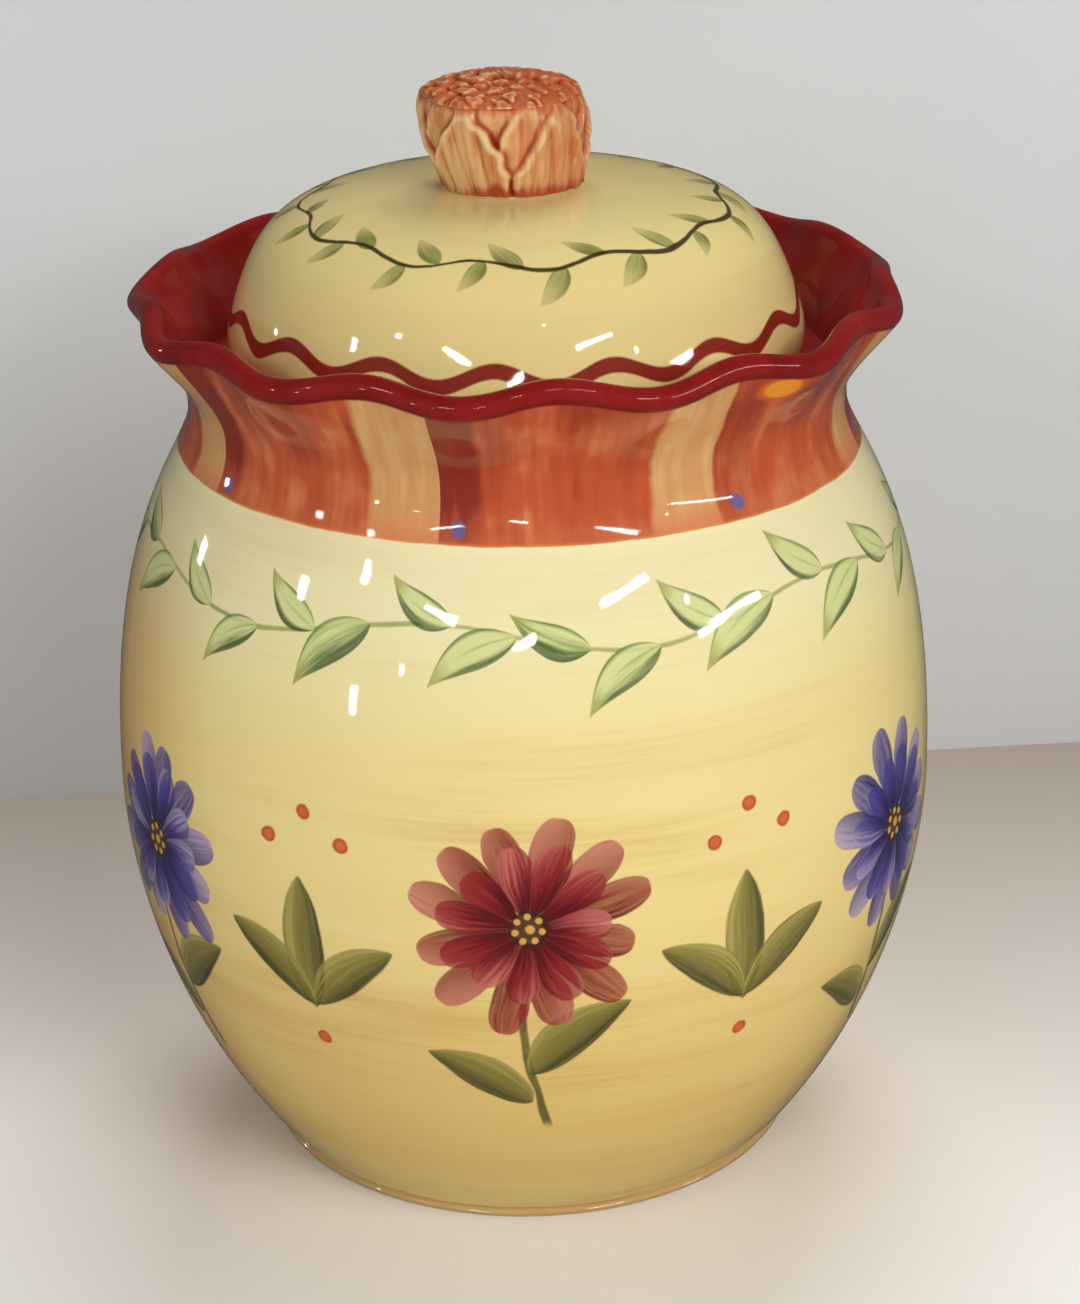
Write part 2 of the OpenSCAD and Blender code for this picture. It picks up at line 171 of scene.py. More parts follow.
class Paint:
    """A painted finish: brushed colours, as a rule under one clear gloss glaze."""

    def __init__(self, name):
        self.material = bpy.data.materials.new(name)
        self.material.use_nodes = True
        self.tree = self.material.node_tree
        self.tree.nodes.clear()
        place = self.node("ShaderNodeTexCoord").outputs["Object"]
        big = self.node("ShaderNodeVectorMath", operation="SCALE")
        self.tree.links.new(place, big.inputs[0])
        big.inputs["Scale"].default_value = 1 / MM
        self.place = Amount(self, big.outputs[0])
        split = self.node("ShaderNodeSeparateXYZ")
        self.tree.links.new(big.outputs[0], split.inputs[0])
        self.x, self.y, self.z = (Amount(self, split.outputs[i]) for i in range(3))
        self.turn = self.math("ARCTAN2", self.x, -self.y) * DEGREES
        self.r = self.far(self.x, self.y)
        self.arc = self.r * (1 / DEGREES)

    def node(self, kind, **settings):
        """A new shader node with these settings."""
        made = self.tree.nodes.new(kind)
        for key, value in settings.items():
            setattr(made, key, value)
        return made

    def feed(self, socket, value):
        """Join a varying amount to a socket, or set the plain value there."""
        if isinstance(value, Amount):
            self.tree.links.new(value.socket, socket)
        else:
            socket.default_value = value

    def fill(self, made, **inputs):
        """Feed the inputs of a node by their names, with _ for each space."""
        for name, value in inputs.items():
            self.feed(made.inputs[name.replace("_", " ")], value)
        return made

    def marked(self, name):
        """The number that keep_numbers put on each point."""
        return Amount(self, self.node("ShaderNodeAttribute", attribute_name=name).outputs["Fac"])

    def math(self, operation, a, b=None):
        """One sum worked out by a node."""
        made = self.node("ShaderNodeMath", operation=operation)
        self.feed(made.inputs[0], a)
        if b is not None:
            self.feed(made.inputs[1], b)
        return Amount(self, made.outputs[0])

    def far(self, a, b):
        """How far a place is from the middle, when it is a across and b up from there."""
        return self.math("SQRT", a * a + b * b)

    def ramp(self, value, low, high):
        """0 at low and below, 1 at high and above, smooth between."""
        start, end = 0.0, 1.0
        if isinstance(low, (int, float)) and isinstance(high, (int, float)) and low > high:
            low, high, start, end = high, low, end, start
        made = self.node("ShaderNodeMapRange", interpolation_type="SMOOTHSTEP")
        self.fill(made, Value=value, From_Min=low, From_Max=high, To_Min=start, To_Max=end)
        return Amount(self, made.outputs["Result"])

    def vector(self, x, y, z):
        """Three amounts as one place."""
        made = self.node("ShaderNodeCombineXYZ")
        for socket, value in zip(made.inputs, (x, y, z)):
            self.feed(socket, value)
        return Amount(self, made.outputs[0])

    def noise(self, place, scale=1.0, detail=2.0, rough=0.5):
        """Soft cloudy variation from -1 to 1 about."""
        made = self.node("ShaderNodeTexNoise")
        self.fill(made, Vector=place, Scale=scale, Detail=detail, Roughness=rough)
        return (Amount(self, made.outputs["Fac"]) - 0.5) * NOISE_SPREAD

    def banded(self, across, up, detail=2.0):
        """Soft variation that changes at one rate across the pot and another up it."""
        place = self.vector(self.x * across, self.y * across, self.z * up)
        return self.noise(place, 1.0, detail)

    def stroked(self, turn_rate, up, seed, detail=2.0):
        """Brush strokes laid by the angle round the pot, each seed with its own."""
        return self.noise(self.vector(self.turn * turn_rate, self.z * up, seed), 1.0, detail)

    def chance(self, a, b=0.0):
        """A fixed number from 0 to 1 for each pair of whole numbers."""
        made = self.node("ShaderNodeTexWhiteNoise", noise_dimensions="2D")
        self.feed(made.inputs["Vector"], self.vector(a, b, 0.0))
        return Amount(self, made.outputs["Value"])

    def shade(self, colour):
        """A colour ready for a socket, whether it varies or is written as (r, g, b)."""
        return colour if isinstance(colour, Amount) else pigment(colour)

    def mix(self, under, over, share):
        """Colour over laid on colour under by a share of 0 to 1."""
        made = self.node("ShaderNodeMix", data_type="RGBA", clamp_factor=True)
        self.feed(made.inputs[0], share)
        self.feed(made.inputs[6], self.shade(under))
        self.feed(made.inputs[7], self.shade(over))
        return Amount(self, made.outputs[2])

    def layers(self, ground, *coats):
        """Coats of (colour, share) laid one after another."""
        for colour, share in coats:
            ground = self.mix(ground, colour, share)
        return ground

    def wrapped(self, value, span):
        """The number of the nearest repeat, and the way from its middle."""
        number = (value / span + 0.5).floor()
        return number, value - number * span

    def coloured(self, colour, rough, sheen):
        """A plain shader in one paint, matt or soft."""
        return self.fill(self.node("ShaderNodeBsdfPrincipled"), Base_Color=self.shade(colour),
                         Roughness=rough, Specular_IOR_Level=sheen)

    def blend(self, first, second, share):
        """One finish over another by a share of 0 to 1."""
        made = self.node("ShaderNodeMixShader")
        for socket, value in zip(made.inputs, (share, Amount(self, first), Amount(self, second))):
            self.feed(socket, value)
        return made.outputs[0]

    def finish(self, surface):
        """The material, with this surface as its outside."""
        self.tree.links.new(surface, self.node("ShaderNodeOutputMaterial").inputs[0])
        return self.material

    def fire(self, colour, bump, gloss=0.045, depth=0.25, coat_ior=1.52):
        """The finished glaze: colour under a clear coat, with faint relief in the coat."""
        relief = self.node("ShaderNodeBump")
        self.fill(relief, Strength=1.0, Distance=depth * MM, Height=bump)
        skin = Amount(self, relief.outputs[0])
        shader = self.coloured(colour, CLAY_ROUGH, CLAY_SHEEN)
        self.fill(shader, Coat_Weight=1.0, Coat_Roughness=gloss, Coat_IOR=coat_ior, Normal=skin,
                  Coat_Normal=skin)
        return self.finish(shader.outputs[0])


def pigment(rgb):
    """A colour written as it looks (0 to 255) turned into the light it reflects."""
    light = [c / 12.92 if c <= 0.04045 else ((c + 0.055) / 1.055) ** 2.4
             for c in (level / 255 for level in rgb)]
    return (*light, 1.0)


# Below, x.over(a, b) grows from 0 where x is a to 1 where x is b, which is how a colour sets
# in, and the share it is multiplied by is how thickly the colour lies.
YELLOW_HIGH, YELLOW_MID, YELLOW_LOW = (243, 234, 182), (240, 219, 146), (230, 196, 116)
OCHRE_STREAK, PALE_STREAK = (210, 158, 82), (250, 240, 190)
OCHRE_HEIGHTS, FOOT_FADE = (165.0, 110.0), (-12.0, 26.0)


def yellow_ground(paint, pale_from, pale_to, low_from, low_to):
    """Yellow glaze brushed on round the pot: paler high up, more ochre low down."""
    z = paint.z + paint.noise(paint.place, 0.02) * 6.0
    ground = paint.mix(YELLOW_MID, YELLOW_HIGH, z.over(pale_from, pale_to))
    ground = paint.mix(ground, YELLOW_LOW, z.over(low_from, low_to) * paint.z.over(*FOOT_FADE))
    broad_streak = paint.banded(0.009, 0.095, 3.0)
    fine_streak = paint.banded(0.03, 1.1)
    pooled = paint.banded(0.014, 0.03, 1.0)
    strength = z.over(*OCHRE_HEIGHTS) * 0.5 + 0.24
    ochre = (broad_streak * 0.9 + fine_streak * 0.3 + pooled * 0.5).over(-0.15, 1.4)
    ground = paint.mix(ground, OCHRE_STREAK, ochre * strength)
    pale = (broad_streak * -0.8 + fine_streak * 0.35).over(0.1, 1.4)
    return paint.mix(ground, PALE_STREAK, pale * 0.35)


def brushed_leaf(paint, along, across, length, width, bend, hook, soft, blunt, taper):
    """One loaded-brush leaf: how much paint lies there, -1 to 1 across it, and 0 to 1 along.

    It bows by bend and turns its tip by hook; blunt and taper shape its base and its tip.
    """
    t = (along / length).most(0.001).least(0.999)
    side = across - 4.0 * bend * t * (1.0 - t) - t * t * t * hook
    fullest = blunt / (blunt + taper)
    peak = fullest ** blunt * (1 - fullest) ** taper
    half = t.power(blunt) * (1.0 - t).power(taper) * (width * (0.5 / peak)) + 0.15
    started, ended = along.over(-0.4, 0.3), (length - along).over(-0.3, 0.5)
    cover = (half - abs(side)).over(-soft * 0.3, soft) * started * ended
    return cover, (side / half).least(1.0).most(-1.0), t


def turned_to(u, v, degrees):
    """The same place seen from axes turned by an angle."""
    if isinstance(degrees, Amount):
        c, s = degrees.cos(), degrees.sin()
    else:
        c, s = math.cos(math.radians(degrees)), math.sin(math.radians(degrees))
    return u * c + v * s, v * c - u * s


LEAF_PALE, LEAF_MID = (214, 218, 146), (100, 136, 56)
LEAF_DARK, LEAF_TIP = (46, 84, 34), (150, 150, 58)
STEM_PALE, STEM_GREEN = (172, 172, 100), (104, 124, 58)
VINE_Z, VINE_SWING, VINE_WAVES, VINE_TOP = 153.6, 3.0, 6, -13.0
VINE_PAIRS, VINE_STEM_W, VINE_STEP = 18, 0.5, 6.0
# Start on the stem, slant, length, width, bend, hook and seed of the leaf above the stem
# and of the one below it.
VINE_LEAVES = ((-10.5, 153.0, 17.6, 7.4, 0.9, -2.2, 1.0),
               (-0.8, -149.0, 21.6, 8.0, -1.3, 2.8, 2.0))


def two_tone(paint, side, t, streak, fullness):
    """A pale leaf with a darker lower edge, from one brush loaded with two greens."""
    loaded = (side * 0.6 + streak * 0.7 + fullness).over(-0.3, 0.9)
    vein = (0.13 - abs(side + 0.12 - t * 0.1)).over(0.0, 0.13) * t.over(0.75, 0.3)
    lower = (side + streak * 0.3 + fullness * 0.25).over(0.22, 0.7) * t.over(0.97, 0.78)
    upper = (-side).over(0.76, 0.98) * (streak + 0.5).over(0.0, 0.8)
    return paint.layers(
        LEAF_PALE, (LEAF_MID, loaded), (LEAF_MID, vein * 0.45),
        (LEAF_MID, abs(side).over(0.66, 0.92) * 0.88), (LEAF_DARK, lower * 0.95),
        (LEAF_DARK, upper * 0.75), (LEAF_TIP, t.over(0.66, 0.92) * 0.8))


def shoulder_vine(paint, colour):
    """The running vine on the shoulder: one waved stem with leaves above and below."""
    wobble = paint.noise(paint.place, 0.09) * 0.35

    def stem_height(turn):
        return ((turn - VINE_TOP) * VINE_WAVES).cos() * VINE_SWING + VINE_Z

    off_stem = abs(paint.z - stem_height(paint.turn) + wobble)
    stem = (VINE_STEM_W + wobble * 0.5 - off_stem).over(-0.2, 0.35)
    shade = paint.noise(paint.place, 0.035) + paint.noise(paint.place, 0.25) * 0.3
    stem_paint = paint.mix(STEM_PALE, STEM_GREEN, shade.over(-0.4, 1.0))
    colour = paint.mix(colour, stem_paint, stem * 0.85)
    span = 360 / VINE_PAIRS
    for start, slant, length, width, bend, hook, seed in VINE_LEAVES:
        number, way = paint.wrapped(paint.turn - (start - VINE_STEP), span)
        pick, other = paint.chance(number, seed), paint.chance(number, seed + 10)
        u = (way - VINE_STEP + (pick - 0.5) * 2.0) * paint.arc
        v = (paint.z - stem_height(number * span + start)) * 1.1
        along, across = turned_to(u, v, (other - 0.5) * 20.0 + slant)
        size = pick * 0.22 + 0.89
        cover, side, t = brushed_leaf(paint, along + wobble * 0.4, across + wobble * 0.6,
                                      size * length, size * width, bend, hook, 0.3, 0.78, 1.2)
        streak = paint.noise(paint.vector(t * 1.3 + number * 7.0, side * 3.0, seed), 1.0, 2.0)
        green = two_tone(paint, side, t, streak, (other - 0.62) * 1.5)
        colour = paint.mix(colour, green, cover * (streak * 0.12 + 0.86))
    return colour


ROSETTES, ROSETTE_Z, EYE_R = 6, 92.0, 4.9
ROSETTE_SPAN = 360 / ROSETTES
STALK_DROP, STALK_W, STALK_FOOT, STALK_TOP = 20.0, 0.75, (-56.0, -53.0), (-12.0, -16.0)
MADDER_DARK, MADDER, MADDER_LIGHT = (92, 16, 24), (146, 30, 36), (204, 118, 108)
VIOLET_DARK, VIOLET, VIOLET_LIGHT = (42, 32, 84), (72, 62, 142), (172, 156, 190)
OLIVE_DARK, OLIVE, OLIVE_LIGHT = (56, 60, 26), (112, 108, 40), (186, 172, 92)
DOT_ORANGE, DOT_RED = (212, 96, 44), (188, 62, 30)
EYE_OCHRE, EYE_BROWN = (222, 166, 74), (66, 34, 30)
# Base height, slant, length, width, bend and seed of each leaf on a stalk, measured from
# the rosette, and in the sprig between two rosettes, measured from the foot.
STALK_LEAVES = ((-38.0, 40.0, 29.0, 11.0, 2.6, 3.0), (-47.0, 148.0, 27.0, 10.0, -2.4, 4.0))
SPRIG_LEAVES = ((66.0, 92.0, 33.0, 10.5, 0.6, 5.0), (67.0, 40.0, 27.0, 9.5, 2.2, 6.0),
                (67.0, 141.0, 27.0, 9.5, -2.2, 7.0))
LEFT_SLANT = 100.0
# Petals, reach, width and first angle of the outer and the inner ring; then dabs, distance
# from the middle and size in the eye; then the dots over and under a sprig.
PETAL_RINGS = ((12, 25.5, 8.6, 15.0), (11, 19.0, 7.6, 4.0))
EYE_DABS = ((7, 3.0, 0.95), (1, 0.3, 1.3))
SPRIG_DOTS = ((0.0, 114.0), (-9.0, 107.0), (9.0, 108.0), (0.4, 58.0))


def brushed_olive(paint, side, streak):
    """Olive leaf paint: dark along one edge, paler where the brush ran dry."""
    green = paint.mix(OLIVE_DARK, OLIVE, (side + streak * 0.5).over(-0.75, 0.05))
    edge = abs(side).over(0.82, 1.0) * (streak + 0.3).over(-0.2, 0.8)
    return paint.layers(green, (OLIVE_LIGHT, (side + streak * 0.8).over(0.1, 1.2) * 0.85),
                        (OLIVE_DARK, edge * 0.7))


def lance_leaf(paint, u, v, number, shape, blunt, taper):
    """A long pointed leaf: its cover, the way across it and its dry streaks."""
    slant, length, width, bend, seed = shape
    along, across = turned_to(u, v, slant)
    cover, side, t = brushed_leaf(paint, along, across, length, width, bend, 0.0, 0.5, blunt, taper)
    streak = paint.noise(paint.vector(t * 1.2 + number * 5.0, side * 5.0, seed), 1.0, 3.0)
    return cover * (streak * 0.22 + 0.9), side, streak


def petal_ring(paint, colour, layer, rho, theta, number, odd):
    """One ring of petals round a rosette, each with its own lean, length and streaks."""
    petals, reach, width, first = PETAL_RINGS[layer]
    petal, lean = paint.wrapped(theta - first, 360 / petals)
    petal = petal - (petal / petals).floor() * petals
    pick, other = (paint.chance(petal + number * 20.0, layer + seed) for seed in (30.0, 40.0))
    lean = lean + (pick - 0.5) * 7.0
    length = (other * 0.24 + 0.86) * (reach - 3.0)
    cover, side, t = brushed_leaf(paint, rho * lean.cos() - 3.0, rho * lean.sin(), length, width,
                                  0.0, 0.0, 0.4, 0.8, 0.42)
    streak = paint.noise(paint.vector(t * 0.9 + pick * 9.0, side * 4.5 + petal * 9.0,
                                      number * 3.0 + layer), 1.0, 3.0, 0.6)
    deep = (1.05 - t + streak * 0.4 - side * 0.25).over(0.25, 0.95)
    dry = t * 0.8 + streak * 0.6 + (pick - 0.5) * 0.9 + side * 0.35 - layer * 0.15
    pale = dry.over(0.35, 1.2)
    red = paint.layers(MADDER, (MADDER_DARK, deep), (MADDER_LIGHT, pale * 0.8))
    violet = paint.layers(VIOLET, (VIOLET_DARK, deep), (VIOLET_LIGHT, pale))
    edge = abs(side).over(0.8, 1.0) * (0.8 - t).over(-0.3, 0.3) * 0.5
    petal_paint = paint.mix(paint.mix(red, violet, odd),
                            paint.mix(MADDER_DARK, VIOLET_DARK, odd), edge)
    return paint.mix(colour, petal_paint, cover * (streak * 0.25 + 1.0 - t * 0.18).least(1.0))


def rosettes(paint, colour):
    """Round rosettes in turn red and violet, each on a stalk with two lance leaves."""
    wobble = paint.noise(paint.place, 0.07) * 0.6
    number, way = paint.wrapped(paint.turn, ROSETTE_SPAN)
    u = way * paint.arc + wobble
    v = paint.z - ROSETTE_Z + wobble * 0.6
    odd = number - (number * 0.5).floor() * 2.0
    from_middle = v + STALK_DROP
    off_stalk = abs(u - (from_middle * from_middle * 0.004 - 1.2))
    stalk = (STALK_W - off_stalk + from_middle * -0.010 + wobble * 0.4).over(-0.2, 0.4)
    stalk = stalk * v.over(*STALK_FOOT) * v.over(*STALK_TOP)
    stalk_paint = paint.mix(OLIVE_DARK, OLIVE, paint.banded(0.5, 0.12).over(-0.4, 0.9))
    colour = paint.mix(colour, stalk_paint, stalk * 0.85)
    for base, *shape in STALK_LEAVES:
        cover, side, streak = lance_leaf(paint, u, v - base, number, shape, 0.65, 0.9)
        lit = -side if shape[0] > LEFT_SLANT else side
        colour = paint.mix(colour, brushed_olive(paint, lit, streak), cover)

    rho, theta = paint.far(u, v), paint.math("ARCTAN2", v, u) * DEGREES
    for layer in range(len(PETAL_RINGS)):
        colour = petal_ring(paint, colour, layer, rho, theta, number, odd)
    rim = rho + paint.noise(paint.place, 0.4) * 0.5
    colour = paint.mix(colour, EYE_BROWN, rim.over(EYE_R, EYE_R - 0.9) * 0.95)
    for dabs, reach, size in EYE_DABS:
        off = paint.wrapped(theta + 10.0, 360 / dabs)[1]
        away = paint.far(rho * off.cos() - reach, rho * off.sin())
        colour = paint.mix(colour, EYE_OCHRE, away.over(size, size * 0.6) * 0.95)
    return colour


def leaf_sprigs(paint, colour):
    """A sprig of three lance leaves between two rosettes, with dots over and under it."""
    wobble = paint.noise(paint.place, 0.07) * 0.6
    number, way = paint.wrapped(paint.turn - ROSETTE_SPAN / 2, ROSETTE_SPAN)
    u = way * paint.arc + wobble
    for base, *shape in SPRIG_LEAVES:
        cover, side, streak = lance_leaf(paint, u, paint.z - base, number, shape, 0.75, 0.8)
        lit = -side if shape[0] > LEFT_SLANT else side + 0.1
        colour = paint.mix(colour, brushed_olive(paint, lit, streak), cover)
    for across, height in SPRIG_DOTS:
        away = paint.far(u - across, paint.z - height) + paint.noise(paint.place, 0.3) * 0.3
        dot = paint.mix(DOT_ORANGE, DOT_RED, away.over(0.6, 1.7))
        colour = paint.mix(colour, dot, away.over(2.0, 1.5) * 0.95)
    return colour


def thrown_relief(paint):
    """Faint rings left by fettling and the soft skin of the glaze."""
    return paint.banded(0.01, 0.22, 1.0) * 0.05 + paint.noise(paint.place, 0.06, 1.0) * 0.25


# Heights on the yellow at which it turns pale upwards and ochre downwards.
GROUND_HEIGHTS = (120.0, 165.0, 125.0, 22.0)
# Painted shade: a darker warm ochre over the left side of the belly, below the shoulder.
LEFT_SHADE_TURN, LEFT_SHADE_HEIGHTS, LEFT_SHADE_OCHRE = -88.0, (172.0, 135.0), (214, 150, 70)
CREAM_INSIDE, FOOT_SHADOW, BARE_CLAY = (236, 224, 190), (168, 124, 76), (206, 188, 158)

p = Paint("belly_glaze")
# Painted shade: the belly's left side is laid over with darker warm ochre.
painted_left_shade = (p.turn - LEFT_SHADE_TURN).cos().over(0.72, 1.0) * p.z.over(*LEFT_SHADE_HEIGHTS)
colour = p.mix(yellow_ground(p, *GROUND_HEIGHTS), LEFT_SHADE_OCHRE, painted_left_shade * 0.5)
colour = shoulder_vine(p, leaf_sprigs(p, rosettes(p, colour)))
# Painted shadow: a brown line round the bottom of the belly just above the foot, where it stands on
# the shelf.
foot_shadow = (p.z + p.noise(p.place, 0.12) * 0.3).over(3.4, 2.2)
bare_foot = p.z.over(0.5, 0.2) * p.r.over(50.0, 54.0)
colour = p.layers(colour, (FOOT_SHADOW, foot_shadow * 0.6), (CREAM_INSIDE, p.marked("inside")),
                  (BARE_CLAY, bare_foot))
belly_glaze = p.fire(colour, thrown_relief(p))

ring_in = FOOT_R - FOOT_RING_W
foot = np.array([
    (0, FOOT_HOLLOW), (ring_in - 24, FOOT_HOLLOW), (ring_in - 4, FOOT_HOLLOW),
    (ring_in - 1.6, 2.2), (ring_in - 0.6, 0.9), (ring_in + 0.3, 0.15), (ring_in + 0.8, 0.0),
    (FOOT_R - 1.2, 0.0), (FOOT_R - 0.5, 0.15), (FOOT_R - 0.1, 0.7), (FOOT_R, 1.3),
    (FOOT_R - 0.3, 1.8), (FOOT_R - FOOT_GROOVE, 2.1), (FOOT_R - FOOT_GROOVE, 2.5)])
outer_end = belly_profile(400, 0.0)
inner_end = belly_profile(400, WALL)


def on_profile(profile, height):
    """The point of a profile at a height."""
    return np.array([np.interp(height, profile[:, 1], profile[:, 0]), height])


def between(profile, low, high):
    """The points of a profile between two heights."""
    return profile[(profile[:, 1] > low) & (profile[:, 1] < high)]


floor_z = FOOT_HOLLOW + FLOOR_T
corner_z = floor_z + FLOOR_CORNER
outside = between(belly_profile(64, 0.0), 0, COLLAR_Z - 2 * SEAM)
inside = between(belly_profile(40, WALL), corner_z, COLLAR_Z - 2 * SEAM)[::-1]
seam = [on_profile(profile, COLLAR_Z - drop) for profile, drop in (
    (outer_end, SEAM), (outer_end, 0.0), (inner_end, 0.0), (inner_end, SEAM))]
corner = on_profile(inner_end, corner_z)
corner = drawn(corner, (corner[0] - 4.2, floor_z + 3), (corner[0] - 6, floor_z),
               (corner[0] - 14, floor_z), np.linspace(0.05, 1, 8))
belly_section = np.vstack([foot, outside, seam, inside, corner, [(20, floor_z)], [(0, floor_z)]])
belly = turned_piece("belly", np.repeat(belly_section[None], BELLY_TURNS, 0))
in_belly = (np.arange(len(belly_section)) > len(foot) + len(outside) + 1)[1:-1]
mark_rows(belly, "inside", in_belly, BELLY_TURNS, (0.0, 1.0))
belly.data.materials.append(belly_glaze)
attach(belly, "jar")
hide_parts("jar_body")

# ------------------------------------------------------------------ collar and lip
# The neck with its inner ledge and the pinched pie-crust lip, in one cast with the
# belly. The collar is striped in terracotta and ochre, and the lip and lining are
# brushed dark red, with an amber dab on the outside of the lip at two places.

COLLAR_TURNS, OUT_ROWS, LINING_ROWS, ROLL_ROWS = 416, 26, 22, 19
NECK_RISE, NECK_WALL, NECK_PULL = 2.0, 4.8, 7.0
LIP_R, LIP_Z, ROLL_R = 83.5, 204.4, 2.7
WAVES, WAVE_OUT, WAVE_UP, WAVE_TURN = 13, 1.4, 1.3, -8.3
LIP_SLOPE, LIP_SWING, LIP_PULL = 62.0, 8.0, 7.5
LEDGE_R, LEDGE_Z, LEDGE_T, UNDER_Z = 56.5, 188.0, 5.0, 174.5


def wave_at(turn):
    """1 at a low wave that stands out, -1 between two of them."""
    return np.cos(np.radians(WAVES * (turn - WAVE_TURN)))


def lip_section(turn):
    """The neck and lip at one angle, from the seam up the outside and down the lining."""
    s = wave_at(turn)
    slope = math.radians(LIP_SLOPE - LIP_SWING * s)
    roll = np.array([LIP_R + WAVE_OUT * s, LIP_Z - WAVE_UP * s])
    start = np.array([WAIST[0] - NECK_WALL / 2, WAIST[1] + NECK_RISE])
    rim_way = np.array([math.cos(slope), math.sin(slope)])
    curve = (start, start + (0, NECK_PULL), roll - LIP_PULL * rim_way, roll)

    def wall_point(t, side):
        thick = NECK_WALL / 2 * (1 - t) + ROLL_R * t
        return moved_in(drawn(*curve, t), drawn_way(*curve, t), -side * thick[:, None])

    out = wall_point(np.linspace(0, 1, OUT_ROWS), 1)
    lining = wall_point(np.linspace(1, 0.14, LINING_ROWS), -1)
    way = drawn_way(*curve, [1.0])[0]
    turns = np.radians(np.linspace(0, 180, ROLL_ROWS)[1:-1])[:, None]
    edge = roll + ROLL_R * (np.cos(turns) * np.array([way[1], -way[0]]) + np.sin(turns) * way)
    return out, edge, lining


neck = np.vstack([on_profile(outer_end, COLLAR_Z), on_profile(outer_end, COLLAR_Z + SEAM),
                  between(outer_end, COLLAR_Z + SEAM, WAIST[1] - 0.1)[::5], WAIST])
under = between(inner_end, COLLAR_Z + 2 * SEAM, UNDER_Z)[::-1][::8]
ledge_low = LEDGE_Z - LEDGE_T
ledge = np.array([
    (WAIST[0] - NECK_WALL - 1.8, LEDGE_Z), (LEDGE_R + 0.9, LEDGE_Z),
    (LEDGE_R + 0.25, LEDGE_Z - 0.25), (LEDGE_R, LEDGE_Z - 0.9), (LEDGE_R, ledge_low),
    (LEDGE_R + 0.4, ledge_low - 0.9), (LEDGE_R + 1.5, ledge_low - 1.5),
    (WAIST[0] - WALL - 3, ledge_low - 7.5)])
collar_rows = []
for step in range(COLLAR_TURNS):
    out, edge, lining = lip_section(360 * step / COLLAR_TURNS)
    lining = lining[lining[:, 1] > LEDGE_Z + 0.8]
    even = np.linspace(0, 1, LINING_ROWS - 2)
    length = np.concatenate([[0], np.cumsum(np.hypot(*np.diff(lining, axis=0).T))])
    lining = np.stack([np.interp(even, length / length[-1], lining[:, k]) for k in (0, 1)], 1)
    collar_rows.append(np.vstack([
        neck, out, edge, lining, (lining[-1, 0] - 0.5, LEDGE_Z + 0.1), ledge, under,
        on_profile(inner_end, COLLAR_Z + SEAM), on_profile(inner_end, COLLAR_Z)]))
collar = turned_piece("collar", np.array(collar_rows), ring=True)
mark_rows(collar, "lining", np.arange(len(collar_rows[0])) >= len(neck) + len(out), COLLAR_TURNS)

TERRACOTTA, TERRACOTTA_LIGHT, TERRACOTTA_DARK = (190, 84, 48), (224, 142, 92), (150, 54, 32)
STRIPE_DARK, STRIPE_DARK_LIGHT, STRIPE_WASH = (138, 46, 30), (190, 84, 52), (206, 112, 70)
OCHRE, OCHRE_LIGHT, BAND_RIM = (206, 148, 90), (226, 186, 128), (232, 146, 72)
LIP_RED, LIP_RED_LIGHT, LIP_RED_DARK = (138, 22, 20), (174, 50, 40), (86, 8, 6)
DOT_BLUE, AMBER, AMBER_EDGE = (92, 96, 150), (226, 146, 34), (206, 92, 40)
STRIPES, STRIPE_START, DARK_END, BROAD_END, THIN_TURN = 8, -12.6, 7.8, 34.2, 36.0
BAND_Z, BAND_SWING, BAND_LOW = 170.9, 0.8, -70.0
DOT_Z, AMBER_TURN, AMBER_DROP, RED_DROP, COLLAR_COAT_IOR = 174.4, 41.0, 4.6, 2.3, 1.4

p = Paint("collar_glaze")
lean_in = p.banded(0.05, 0.12)
strokes, brush = p.stroked(0.55, 0.05, 2.0, 3.0), p.stroked(0.16, 0.035, 7.0)
cloud, red_cloud = p.noise(p.place, 0.09, 3.0), p.noise(p.place, 0.06, 3.0)
high, low = p.z.over(176.0, 196.0), p.z.over(184.0, 172.0)
stripe = 360 / STRIPES
number, way = p.wrapped(p.turn - STRIPE_START - stripe / 2, stripe)
way = way + stripe / 2 + lean_in * 0.9 + (p.chance(number, 50.0) - 0.5) * 2.0

# The terracotta stripes darken towards the lip and lighten lower down; the dark stripes pale with
# the brush strokes and lower down.
lighter = (strokes * 0.6 + cloud * 0.9 + brush + low * 0.6).over(0.05, 1.7)
darker = (strokes * -0.6 - cloud * 0.5 - brush + high * 0.7).over(0.1, 1.4)
broad = p.layers(TERRACOTTA, (TERRACOTTA_LIGHT, lighter * 0.8), (TERRACOTTA_DARK, darker * 0.85))
stripe_paling = (strokes + cloud * 0.6 + low - high * 0.6).over(0.0, 1.6)
thinner = ((p.turn - THIN_TURN) * 2.0).cos().over(0.2, 1.0)
dark = p.layers(STRIPE_DARK, (STRIPE_DARK_LIGHT, stripe_paling * 0.85), (broad, thinner * 0.6))
ochre = p.layers(OCHRE, (OCHRE_LIGHT, (strokes + cloud * 0.6).over(-0.6, 1.2) * 0.7),
                 (TERRACOTTA_LIGHT, p.z.over(180.0, 171.0) * 0.6))
band_edge = (p.turn - BAND_LOW).cos() * BAND_SWING + p.noise(p.place, 0.08) * 0.3 + BAND_Z
dot = p.far((way - DARK_END / 2) * p.arc, p.z - DOT_Z) + cloud * 0.2

